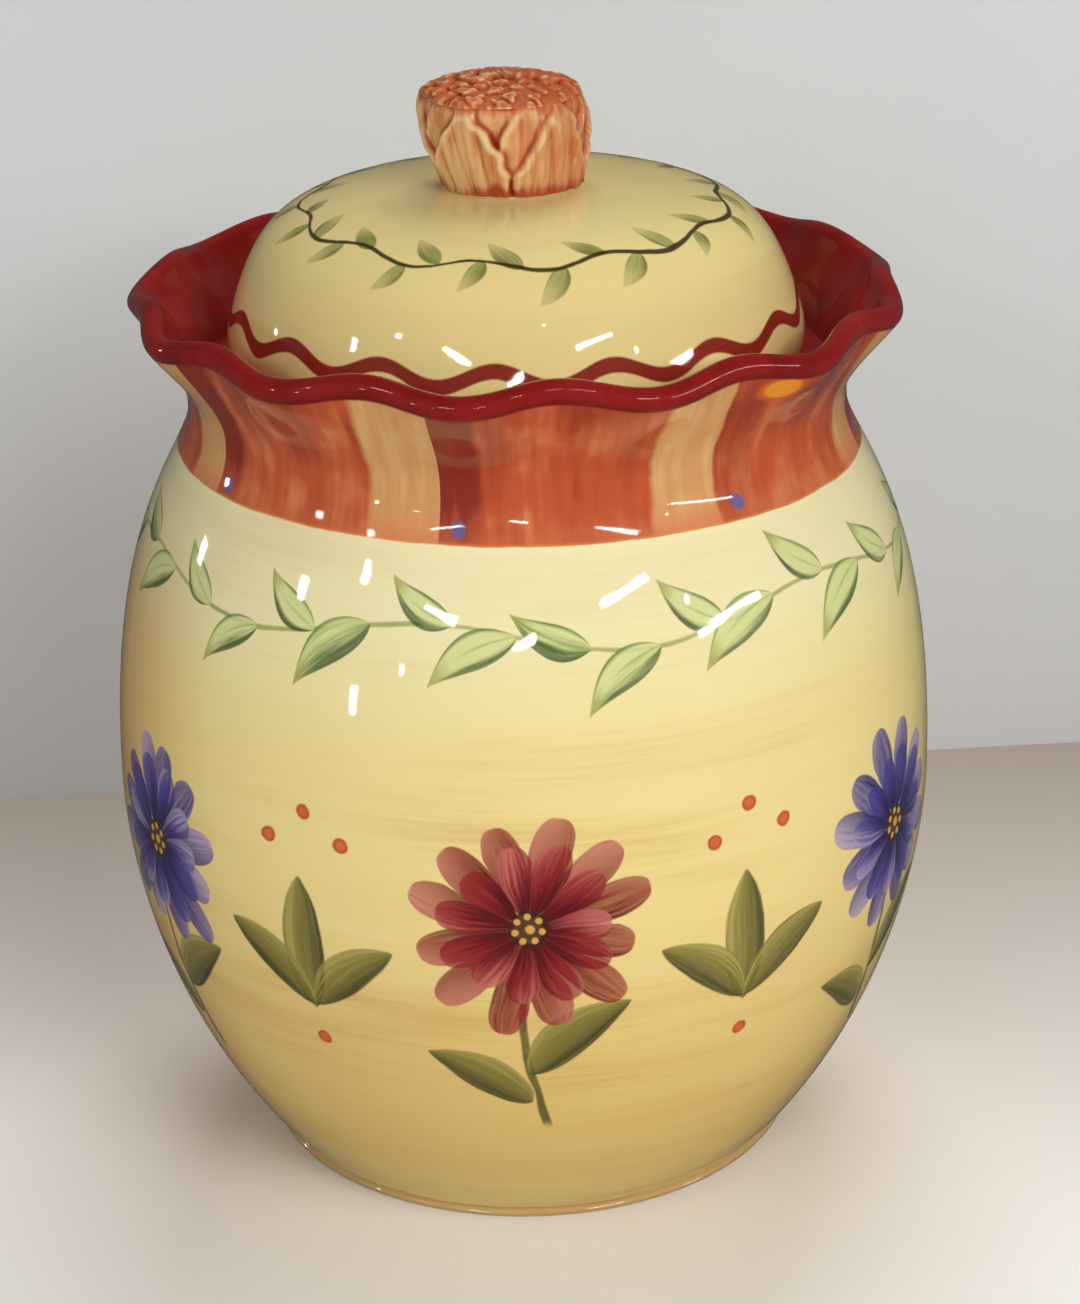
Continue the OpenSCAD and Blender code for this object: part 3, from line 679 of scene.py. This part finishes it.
roll_z = LIP_Z - ((p.turn - WAVE_TURN) * WAVES).cos() * WAVE_UP
amber_u = p.wrapped(p.turn - AMBER_TURN, 180.0)[1] * p.arc
amber_v = (p.z - roll_z + AMBER_DROP) * 1.25 - amber_u * 0.12
amber = p.math("SQRT", amber_u * amber_u * 0.42 + amber_v * amber_v) + cloud * 0.35
lining_side = p.marked("lining")
# Painted shade: the red darkens on the outside just below the roll of the lip.
painted_shade_under_roll = (roll_z - p.z + strokes * 0.6).over(0.3, 2.6) * (1.0 - lining_side)
# Painted light: the red is made lighter on the lining inside the lip, where the radius is under 81
# mm.
red = p.layers(
    LIP_RED, (LIP_RED_LIGHT, (red_cloud + strokes * 0.4).over(0.0, 1.4) * 0.6),
    (LIP_RED_DARK, (red_cloud + brush * 0.4).over(0.1, -1.0) * 0.75),
    (LIP_RED_LIGHT, p.r.over(81.0, 78.0) * 0.35), (LIP_RED_DARK, painted_shade_under_roll * 0.6))
lip_share = (p.z - roll_z + RED_DROP + lean_in * 0.35).over(-0.35, 0.35)
ledge_share = p.z.over(187.4, 186.6) * (p.r - 66.0).over(0.6, 0.0)
under_share = p.z.over(186.0, 185.0) * p.r.over(71.5, 70.8)
colour = p.layers(
    ochre,
    (broad, way.over(DARK_END - 2.8, DARK_END - 2.0) * way.over(BROAD_END + 0.9, BROAD_END - 0.7)),
    (dark, way.over(-0.4, 0.5) * way.over(DARK_END + 0.9, DARK_END - 1.6)),
    (STRIPE_WASH, (p.z + lean_in * 1.2).over(176.5, 170.5) * 0.45),
    (BAND_RIM, (p.z - band_edge).over(0.8, 0.1) * 0.5), (DOT_BLUE, dot.over(2.1, 1.3) * 0.85),
    (AMBER_EDGE, amber.over(4.6, 3.2) * 0.9), (AMBER, amber.over(3.3, 2.4)),
    (red, lip_share.most(lining_side * p.z.over(186.0, 187.0))),
    (CREAM_INSIDE, ledge_share.most(under_share)))
painted = (p.z - band_edge).over(-0.15, 0.2)
colour = p.mix(yellow_ground(p, *GROUND_HEIGHTS), colour, painted.most(ledge_share))
relief = thrown_relief(p) + strokes * painted * 0.02
collar_glaze = p.fire(colour, relief, coat_ior=COLLAR_COAT_IOR)
collar.data.materials.append(collar_glaze)
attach(collar, "jar")
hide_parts("jar_body")

# ------------------------------------------------------------------ lid
# The domed lid, cast hollow with a locating ring that drops inside the ledge. It is
# yellow like the belly, with a thin vine ring on the dome and a dark red wavy line.

LID_TURNS = 320
LID_R, LID_EDGE_Z, LID_WALL = 64.6, 199.8, 5.0
DOME_H, DOME_LEAN, DOME_PULL, DOME_FLAT = 29.0, 16.5, 28.4, 50.0
REST_W, RING_R, RING_H, RING_T = 5.0, 55.0, 7.0, 4.5

lean = math.radians(DOME_LEAN)
top = (0.0, LID_EDGE_Z + DOME_H)
dome_curve = ((LID_R, LID_EDGE_Z),
              (LID_R - DOME_PULL * math.sin(lean), LID_EDGE_Z + DOME_PULL * math.cos(lean)),
              (DOME_FLAT, top[1]), top)
steps = np.linspace(0, 1, 90)
dome_out = drawn(*dome_curve, steps)
dome_in = moved_in(dome_out, drawn_way(*dome_curve, steps), LID_WALL)
edge_way = np.array([math.sin(lean), -math.cos(lean)])
rest_r = RING_R + 0.4 + REST_W
under_edge = drawn((rest_r, LEDGE_Z), (rest_r + 2.4, LEDGE_Z), dome_out[0] + 7.5 * edge_way,
                   dome_out[0], np.linspace(0, 1, 24))[:-1]
inner_r, ring_low = RING_R - RING_T, LEDGE_Z - RING_H
hollow = drawn(dome_in[0], dome_in[0] + 4 * edge_way, (inner_r, LEDGE_Z + 5),
               (inner_r, LEDGE_Z - 1.5), np.linspace(0, 1, 20))[1:]
ring = np.array([
    (inner_r, ring_low + 1.2), (inner_r + 0.35, ring_low + 0.3), (inner_r + 1.2, ring_low),
    (RING_R - 1.2, ring_low), (RING_R - 0.35, ring_low + 0.3), (RING_R, ring_low + 1.2),
    (RING_R, LEDGE_Z - 0.3), (RING_R + 0.3, LEDGE_Z)])
lid_section = np.vstack([[(0, top[1] - LID_WALL)], dome_in[::-1][2:-1], [dome_in[0]], hollow, ring,
                         under_edge, dome_out[:-1], [top]])
lid = turned_piece("lid_dome", np.repeat(lid_section[None], LID_TURNS, 0))
under_rows = len(lid_section) - len(dome_out) - len(under_edge)
mark_rows(lid, "inside", (np.arange(len(lid_section)) < under_rows)[1:-1], LID_TURNS, (1.0, 0.0))

RING_VINE_R, RING_VINE_SHIFT, RING_VINE_SWING = 46.6, 3.9, 1.4
RING_VINE_WAVES, RING_VINE_TURN, RING_STEM_W = 11, 7.0, 0.44
RING_PAIRS, RING_STEP = 18, 3.5
# Start on the stem, slant, length, width, hook and seed of the leaf inside the ring and of
# the one outside it.
RING_LEAVES = ((2.0, 125.0, 11.0, 4.2, 0.6, 1.0), (-8.0, -117.0, 8.8, 3.7, -0.8, 2.0))
LINE_Z, LINE_SWING, LINE_WAVES, LINE_LOW, LINE_W = 202.6, 1.75, 16, 7.1, 1.65
LINE_RED, LINE_RED_DARK = (142, 14, 14), (96, 6, 6)
LID_OLIVE, LID_STEM = (134, 128, 56), (56, 42, 8)
LID_GROUND_HEIGHTS = (222.0, 250.0, 204.0, 180.0)

p = Paint("lid_glaze_paint")
colour = yellow_ground(p, *LID_GROUND_HEIGHTS)
wobble = p.noise(p.place, 0.1) * 0.3


def ring_radius(turn):
    """The vine ring on the dome: a waved circle that is shifted a little to the front."""
    wave = ((turn - RING_VINE_TURN) * RING_VINE_WAVES).cos() * RING_VINE_SWING
    return turn.cos() * RING_VINE_SHIFT + wave + RING_VINE_R


upper = p.z.over(205.0, 208.0)
ring_span = 360 / RING_PAIRS
for start, slant, length, width, hook, seed in RING_LEAVES:
    number, way = p.wrapped(p.turn - (start - RING_STEP), ring_span)
    pick, other = p.chance(number, seed + 70), p.chance(number, seed + 80)
    u = (way - RING_STEP + (pick - 0.5) * 3.0) * (RING_VINE_R / DEGREES)
    v = (ring_radius(number * ring_span + start) - p.r) * 1.08
    along, across = turned_to(u, v, (other - 0.5) * 32.0 + slant)
    size = pick * 0.3 + 0.85
    cover, side, t = brushed_leaf(p, along + wobble, across + wobble * 0.5, size * length,
                                  size * width, 0.4, hook, 0.4, 0.7, 1.1)
    streak = p.noise(p.vector(t * 1.5 + number * 7.0, side * 3.0, seed), 1.0, 2.0)
    green = p.mix(two_tone(p, side, t, streak, (other - 0.35) * 1.3), LID_OLIVE, 0.68)
    colour = p.mix(colour, green, cover * upper * (t.over(1.0, 0.3) * 0.6 + 0.32))
off_stem = abs(p.r - ring_radius(p.turn) + wobble * 1.6)
loaded = (p.turn - 58.0).cos().over(0.5, 1.0) * 0.2
stem = (RING_STEM_W + wobble * 0.7 + loaded - off_stem).over(-0.2, 0.25) * upper
stem_paint = p.mix(LID_STEM, STEM_GREEN, p.noise(p.place, 0.06).over(0.0, 1.2) * 0.4)
line_z = LINE_Z - ((p.turn - LINE_LOW) * LINE_WAVES).cos() * LINE_SWING
off_line = abs(p.z - line_z + wobble * 0.5)
line = (LINE_W + wobble * 0.6 - off_line).over(-0.2, 0.35) * (p.r - 60.0).over(0.0, 0.5)
line_paint = p.mix(LINE_RED, LINE_RED_DARK, p.stroked(0.5, 0.8, 1.0).over(-0.2, 1.0) * 0.6)
colour = p.layers(colour, (stem_paint, stem * 0.96), (line_paint, line * 0.97),
                  (CREAM_INSIDE, p.marked("inside")))
lid_glaze = p.fire(colour, thrown_relief(p))
lid.data.materials.append(lid_glaze)
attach(lid, "lid")
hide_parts("lid")

# ------------------------------------------------------------------ knob
# The knob, modelled by hand as a bunch of wrapped leaves with small curls on top, and
# luted to the dome with slip. It is ochre with burnt orange washed into the folds. Painted
# shade deepens the folds, and painted highlights lie on the leaf and curl crests.

SEAT_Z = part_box("lid_knob")[0][2] / MM
KNOB_BASE_R, KNOB_TOP_R, KNOB_SIDE_H, CROWN_H, KNOB_LEAN = 15.6, 19.5, 20.0, 5.2, 2.9
LEAVES, LEAF_T, LEAF_SPLIT, INNER_SPLIT, RIBS, RIB_D = 5, 1.25, 4.5, 10.5, 20, 0.30
CURLS, CURL_R, CURL_H, CURL_REST, SEED_TURN = 26, 3.0, 1.6, 0.7, 137.5
KNOB_TURNS, KNOB_ROWS, CROWN_ROWS = 360, 84, 56
SOFT_SHOULDER, SHOULDER_FROM, SLIP_IN = 1.3, 15.0, 0.3


def eased(low, high, value):
    """0 at low and below, 1 at high and above, smooth between."""
    t = np.clip((value - low) / (high - low), 0, 1)
    return t * t * (3 - 2 * t)


def back_round(angle, span):
    """The way from the nearest repeat of a span."""
    return angle - span * np.round(angle / span)


def swung(angle):
    """The sine of an angle in degrees."""
    return np.sin(np.radians(angle))


def leaf_edge(turn, z, middle, start, left, right):
    """Degrees from a leaf's edge: the leaves part above a height and leave a V between them."""
    way = back_round(turn - middle, 360 / LEAVES)
    opened = np.maximum(0, z - start)
    return np.where(way > 0, way - opened * right, -way - opened * left)


def leaf_ring(edge, z, start):
    """One ring of leaves with rolled edges over the ring below it."""
    return LEAF_T * eased(start - 1.5, start + 2.5, z) * (
        0.32 * np.exp(-((edge - 2.5) / 3.5) ** 2) + eased(-2.5, 1.5, edge) - 1)


def leaf_relief(turn, z):
    """How far the wrapped leaves stand out from the knob's smooth side, in mm."""
    bent = turn + 2.4 * swung(z * 26 + turn * 3) + 1.3 * swung(z * 60 - turn * 7)
    outer = leaf_edge(bent, z, 2, LEAF_SPLIT, 1.7, 2.5)
    inner = leaf_edge(bent, z, -9, INNER_SPLIT, 1.2, 2.3)
    open_share = 1 - eased(-2.5, 1.5, outer)
    fold = np.exp(-(back_round(bent - 2, 360 / LEAVES) / 2.4) ** 2) * (1 - eased(3, 7, z))
    rib = RIB_D * (2 * np.abs(swung(RIBS / 2 * turn + 14 * swung(2 * turn) + z)) ** 0.7 - 1.3)
    rib = rib + 0.2 * (np.abs(swung(17 * turn + 25 * swung(3 * turn) - 2 * z)) ** 0.8 - 0.6)
    return (rib * (1 - 0.5 * open_share) + leaf_ring(outer, z, LEAF_SPLIT) - 0.7 * LEAF_T * fold
            + open_share * leaf_ring(inner, z, INNER_SPLIT))


def curl_height(x, y):
    """Small pressed curls, laid like the seeds of a flower head, no two alike."""
    u = x + 0.8 * np.sin(0.9 * y + 1) + 0.3 * np.sin(2.3 * y + x)
    v = y + 0.8 * np.sin(0.8 * x) + 0.3 * np.sin(2.1 * x - y)
    best = np.zeros_like(x)
    for k in range(1, 2 * CURLS):
        r, a = (KNOB_TOP_R + 0.4) * math.sqrt(k / (2 * CURLS - 1)), math.radians(SEED_TURN * k)
        size = 0.5 + 0.55 * ((k * 0.618) % 1)
        out, side = u - r * math.cos(a), v - r * math.sin(a)
        twist = a + 1.9 * ((k * 0.37) % 1)
        along = out * math.cos(twist) + side * math.sin(twist)
        across = side * math.cos(twist) - out * math.sin(twist)
        d = (along ** 2 / 0.7 + across ** 2 / 1.5) / (CURL_R * size) ** 2
        dimple = 0.35 * np.exp(-d * 9)
        best = np.maximum(best, size * (np.sqrt(np.clip(1 - d, 0, 1)) - dimple))
    return CURL_H * (best + 0.06 * np.sin(3.1 * u) * np.sin(2.9 * v))


def spread_round(height, reach):
    """The same heights smoothed over a few degrees and rows."""
    grid = height.copy()
    for _ in range(reach):
        grid = (np.roll(grid, 1, 0) + 2 * grid + np.roll(grid, -1, 0)) / 4
        inner_rows = np.pad(grid, ((0, 0), (1, 1)), mode="edge")
        grid = (inner_rows[:, :-2] + 2 * grid + inner_rows[:, 2:]) / 4
    return grid


turn = np.arange(KNOB_TURNS) * 360 / KNOB_TURNS
rim_curl = curl_height(KNOB_TOP_R * swung(turn), -KNOB_TOP_R * swung(turn + 90)) - CURL_REST
rows, lifts = [], []
for j in range(KNOB_ROWS + 1):
    z = KNOB_SIDE_H * j / KNOB_ROWS
    spread = math.sin(math.pi / 2 * z / KNOB_SIDE_H) ** 0.85
    smooth_r = KNOB_BASE_R + (KNOB_TOP_R - KNOB_BASE_R) * spread
    leaves = leaf_relief(turn, z) * eased(-1, 1.5, z) * (1 - 0.65 * eased(14, 20, z))
    lift = leaves + 0.6 * rim_curl * eased(14.5, 20, z)
    luted = 0.5 * math.exp(-(z / 0.9) ** 2)
    rounded = SOFT_SHOULDER * max(0.0, (z - SHOULDER_FROM) / (KNOB_SIDE_H - SHOULDER_FROM)) ** 2
    rows.append(np.stack([smooth_r + lift + luted - rounded - SLIP_IN, np.full(KNOB_TURNS, z)], 1))
    lifts.append(lift)
for j in range(1, CROWN_ROWS + 1):
    t = j / (CROWN_ROWS + 1)
    bow, rise = math.cos(math.pi / 2 * t), math.sin(math.pi / 2 * t)
    leaves = 0.35 * leaf_relief(turn, KNOB_SIDE_H) * (1 - t * t)
    r = (KNOB_TOP_R - SOFT_SHOULDER + leaves - SLIP_IN) * bow ** 0.8
    curl = curl_height(r * swung(turn), -r * swung(turn + 90))
    lift = (curl - CURL_REST) * (0.75 + 0.4 * eased(0, 0.25, t))
    z = KNOB_SIDE_H + (CROWN_H - CURL_H) * rise ** 1.1 + lift * rise
    rows.append(np.stack([r + lift * bow * 0.8, np.minimum(z, KNOB_SIDE_H + CROWN_H - 0.2)], 1))
    lifts.append(lift * 1.2)
middle_top = rows[-1][:, 1].mean()
rows = [np.zeros((KNOB_TURNS, 2))] + rows + [np.tile([0.0, middle_top], (KNOB_TURNS, 1))]
knob = turned_piece("leaf_knob", np.array(rows).transpose(1, 0, 2), sharp=80)
lifts = np.array(lifts).T
hollow = np.concatenate([(spread_round(lifts, 14) - lifts).ravel(), [0.0, 0.0]])
keep_numbers(knob, "hollow", hollow)
for point in knob.data.vertices:
    point.co.x -= KNOB_LEAN * MM * (point.co.z / MM) / (KNOB_SIDE_H + CROWN_H)
    point.co.z += SEAT_Z * MM

KNOB_OCHRE, KNOB_HIGHLIGHT_CREAM = (216, 152, 94), (236, 198, 144)
BURNT, KNOB_RED = (190, 88, 44), (164, 46, 30)
CURL_ORANGE, CURL_HIGHLIGHT_CREAM, FOLD_SHADE = (198, 92, 50), (238, 192, 136), (112, 34, 18)
SHADED_TURN, POOL_TURN, CROWN_HEIGHTS = 74.0, 2.0, (18.2, 20.8)

p = Paint("knob_glaze_paint")
fold = p.marked("hollow")
grain, fine = p.stroked(0.22, 0.045, 4.0, 3.0), p.stroked(0.7, 0.12, 9.0)
patch = p.noise(p.place, 0.11, 2.0)
height = p.z - SEAT_Z
# Painted highlight: cream on the raised leaf crests, broken up by brush variation.
pale = (fold * -2.2 + grain * 0.5 + patch * 0.4).over(-0.5, 1.0)
wash = (grain * -0.8 + fine * 0.45 + patch * -0.6 + fold * 1.8).over(-0.25, 1.1)
low_wash = (height + patch * 1.4 + grain).over(4.0, 1.0)
shaded = ((p.turn - SHADED_TURN).cos() + grain * 0.7 + fine * 0.4).over(0.3, 1.2)
pool = (height + patch * 2.5 + grain * 2.0 - (p.turn - POOL_TURN).cos() * 1.9).over(1.9, -0.8)
crown = (height + patch * 2.2 + grain * 1.4 + fold * 1.5).over(*CROWN_HEIGHTS)
# Painted highlight: cream on the crests of the curls, orange in the gaps between them.
curls = p.mix(CURL_ORANGE, CURL_HIGHLIGHT_CREAM,
              (fold * -2.6 + patch * 0.6 + fine * 0.2).over(0.3, 1.5) * 0.85)
# Dark red in the folds is a red wash deepened by painted shade; the near-black in the deepest folds
# is painted shade.
colour = p.layers(
    KNOB_OCHRE, (KNOB_HIGHLIGHT_CREAM, pale), (BURNT, wash * 0.85), (BURNT, low_wash * 0.55),
    (BURNT, shaded * 0.6), (KNOB_RED, pool * 0.85), (curls, crown * 0.85),
    (KNOB_RED, fold.over(0.14, 0.42) * 0.75), (FOLD_SHADE, fold.over(0.38, 0.85) * 0.85),
    (YELLOW_MID, (height + patch * 0.3).over(0.5, 0.1) * 0.8))
knob_glaze = p.fire(colour, grain * 0.4 + patch * 0.9 + fine * 0.2, gloss=0.06, depth=0.2)
knob.data.materials.append(knob_glaze)
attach(knob, "lid")
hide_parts("lid_knob")

# ------------------------------------------------------------------ shelf, light and camera
# A pale shelf board and a wall board behind it in matt paint, three soft lamps, and small
# bright lamps that show in the glaze as a window does. The camera stands in front of the
# jar and looks a little down on it.

ROOM, WALL_NEAR, WALL_SKEW = 2400.0, 182.5, 0.078
# The shelf's colour darkens from the front towards the wall as painted shade.
SHELF_NEAR, SHELF_SHADED, SHELF_SHADE_SPAN = (252, 249, 244), (176, 163, 149), (-100.0, 200.0)
WALL_PAINT, FAR_TONE, FADE = (216, 218, 220), (193, 193, 195), (450.0, 1500.0)
SHELF_ROUGH, WALL_ROUGH, BOARD_SHEEN = 0.6, 0.8, 0.2


def matt(paint, colour, rough, one_sided=False):
    """Matt board paint that the camera sees fade to one pale tone far from the jar."""
    tone = paint.fill(paint.node("ShaderNodeEmission"), Color=pigment(FAR_TONE))
    seen = Amount(paint, paint.node("ShaderNodeLightPath").outputs["Is Camera Ray"])
    surface = paint.blend(paint.coloured(colour, rough, BOARD_SHEEN).outputs[0], tone.outputs[0],
                          paint.far(paint.r, paint.z).over(*FADE) * seen)
    if one_sided:
        back = Amount(paint, paint.node("ShaderNodeNewGeometry").outputs["Backfacing"])
        surface = paint.blend(surface, paint.node("ShaderNodeBsdfTransparent").outputs[0], back)
    return paint.finish(surface)


def board(name, corners, material):
    """One board of the stage, from its corners in mm."""
    mesh = bpy.data.meshes.new(name)
    mesh.from_pydata((np.array(corners) * MM).tolist(), [], [(0, 1, 2, 3)])
    made = placed(name, mesh)
    made.data.materials.append(material)
    made.visible_glossy = False
    return made


# Painted shade: the shelf board grows darker towards the back.
shelf_paint = Paint("shelf_paint")
back_shade = (shelf_paint.y - SHELF_SHADE_SPAN[0]) / (SHELF_SHADE_SPAN[1] - SHELF_SHADE_SPAN[0])
shelf_colour = shelf_paint.mix(SHELF_NEAR, SHELF_SHADED, back_shade)
board("shelf", [(-ROOM, -ROOM, 0), (ROOM, -ROOM, 0), (ROOM, ROOM, 0), (-ROOM, ROOM, 0)],
      matt(shelf_paint, shelf_colour, SHELF_ROUGH))
# The wall has no back, so that it hides nothing from behind.
left, right = WALL_NEAR - WALL_SKEW * ROOM, WALL_NEAR + WALL_SKEW * ROOM
wall = board("wall", [(-ROOM, left, 0), (ROOM, right, 0), (ROOM, right, ROOM), (-ROOM, left, ROOM)],
             matt(Paint("wall_paint"), WALL_PAINT, WALL_ROUGH, one_sided=True))
wall.visible_shadow = wall.visible_diffuse = False

ROOM_AIR, ROOM_LIGHT, ROOM_MIRRORED, ROOM_SEEN = (0.88, 0.88, 0.90, 1.0), 0.14, 0.08, 0.60
world = bpy.data.worlds.new("room")
bpy.context.scene.world = world
world.use_nodes = True
nodes, links = world.node_tree.nodes, world.node_tree.links
nodes["Background"].inputs["Color"].default_value = ROOM_AIR
ray, level = nodes.new("ShaderNodeLightPath"), None
for kind, strength in (("Is Glossy Ray", ROOM_MIRRORED), ("Is Camera Ray", ROOM_SEEN)):
    step = nodes.new("ShaderNodeMapRange")
    step.inputs["To Min"].default_value, step.inputs["To Max"].default_value = ROOM_LIGHT, strength
    links.new(ray.outputs[kind], step.inputs["Value"])
    if level:
        links.new(level, step.inputs["To Min"])
    level = step.outputs["Result"]
links.new(level, nodes["Background"].inputs["Strength"])

# Turn, height, size, power and distance of the soft lamps, and turn, height, width, depth
# and tilt of the small bright ones; angles in degrees, lengths in metres, power in watts.
LAMPS = (("key", 32, 33, 1.0, 14.3, 1.87), ("fill", -48, 19, 1.1, 4.6, 1.72),
         ("behind", 170, 46, 1.1, 17, 1.7))
SPARKS = ((32, 27.5, 0.34, 0.040, 12), (61, 14.0, 0.55, 0.036, 2), (-24, 24.5, 0.25, 0.036, -17),
          (-68, 19.0, 0.05, 0.09, 0), (-46, 2.5, 0.030, 0.11, 0), (0, 19.0, 0.15, 0.045, 20),
          (-50, 27.0, 0.05, 0.05, 0), (-109, 7.0, 0.05, 0.07, 0), (12, 37.0, 0.035, 0.028, 0),
          (-33, 10.0, 0.030, 0.035, 0), (49, 21.0, 0.030, 0.040, 0))
SPARK_POWER, SPARK_FAR, AIM_Z = 110.0, 1.4, 0.14


def stand(made, axes, place):
    """Put a lamp or camera at a place, from its own right, up and back directions."""
    made.matrix_world = Matrix([*np.column_stack([*axes, place]).tolist(), (0, 0, 0, 1)])


def lamp(name, turn, height, wide, tall, power, far, tilt=0.0, mirrored=True):
    """A soft lamp at an angle round from the front and up; a mirrored one shows in the glaze."""
    light = bpy.data.lights.new(name, "AREA")
    light.energy, light.shape, light.size, light.size_y = power, "RECTANGLE", wide, tall
    a, e, b = math.radians(turn), math.radians(height), math.radians(tilt)
    away = np.array((math.cos(e) * math.sin(a), -math.cos(e) * math.cos(a), math.sin(e)))
    level = np.array((math.cos(a), math.sin(a), 0))
    rise = np.cross(away, level)
    side, up = level * math.cos(b) + rise * math.sin(b), rise * math.cos(b) - level * math.sin(b)
    made = placed(name, light)
    stand(made, (side, up, away), (0, 0, AIM_Z) + far * away)
    made.visible_glossy = mirrored


for name, turn_to, height, size, power, far in LAMPS:
    lamp(name, turn_to, height, size, size, power, far, mirrored=False)
for number, (turn_to, height, wide, tall, tilt) in enumerate(SPARKS):
    power = SPARK_POWER * wide * tall
    lamp(f"spark_{number}", turn_to, height, wide, tall, power, SPARK_FAR, tilt)

CAMERA_RIGHT, CAMERA_UP = (0.99977, -0.01329, -0.01703), (0.02082, 0.38290, 0.92356)
CAMERA_BACK, CAMERA_PLACE = (-0.00576, -0.92370, 0.38308), (0.0, -0.65644, 0.38770)
camera_data = bpy.data.cameras.new("camera")
camera_data.sensor_width, camera_data.lens = 36.0, 82.82
camera = placed("camera", camera_data)
stand(camera, (CAMERA_RIGHT, CAMERA_UP, CAMERA_BACK), CAMERA_PLACE)
bpy.context.scene.camera = camera
bpy.context.scene.view_settings.view_transform = "Standard"
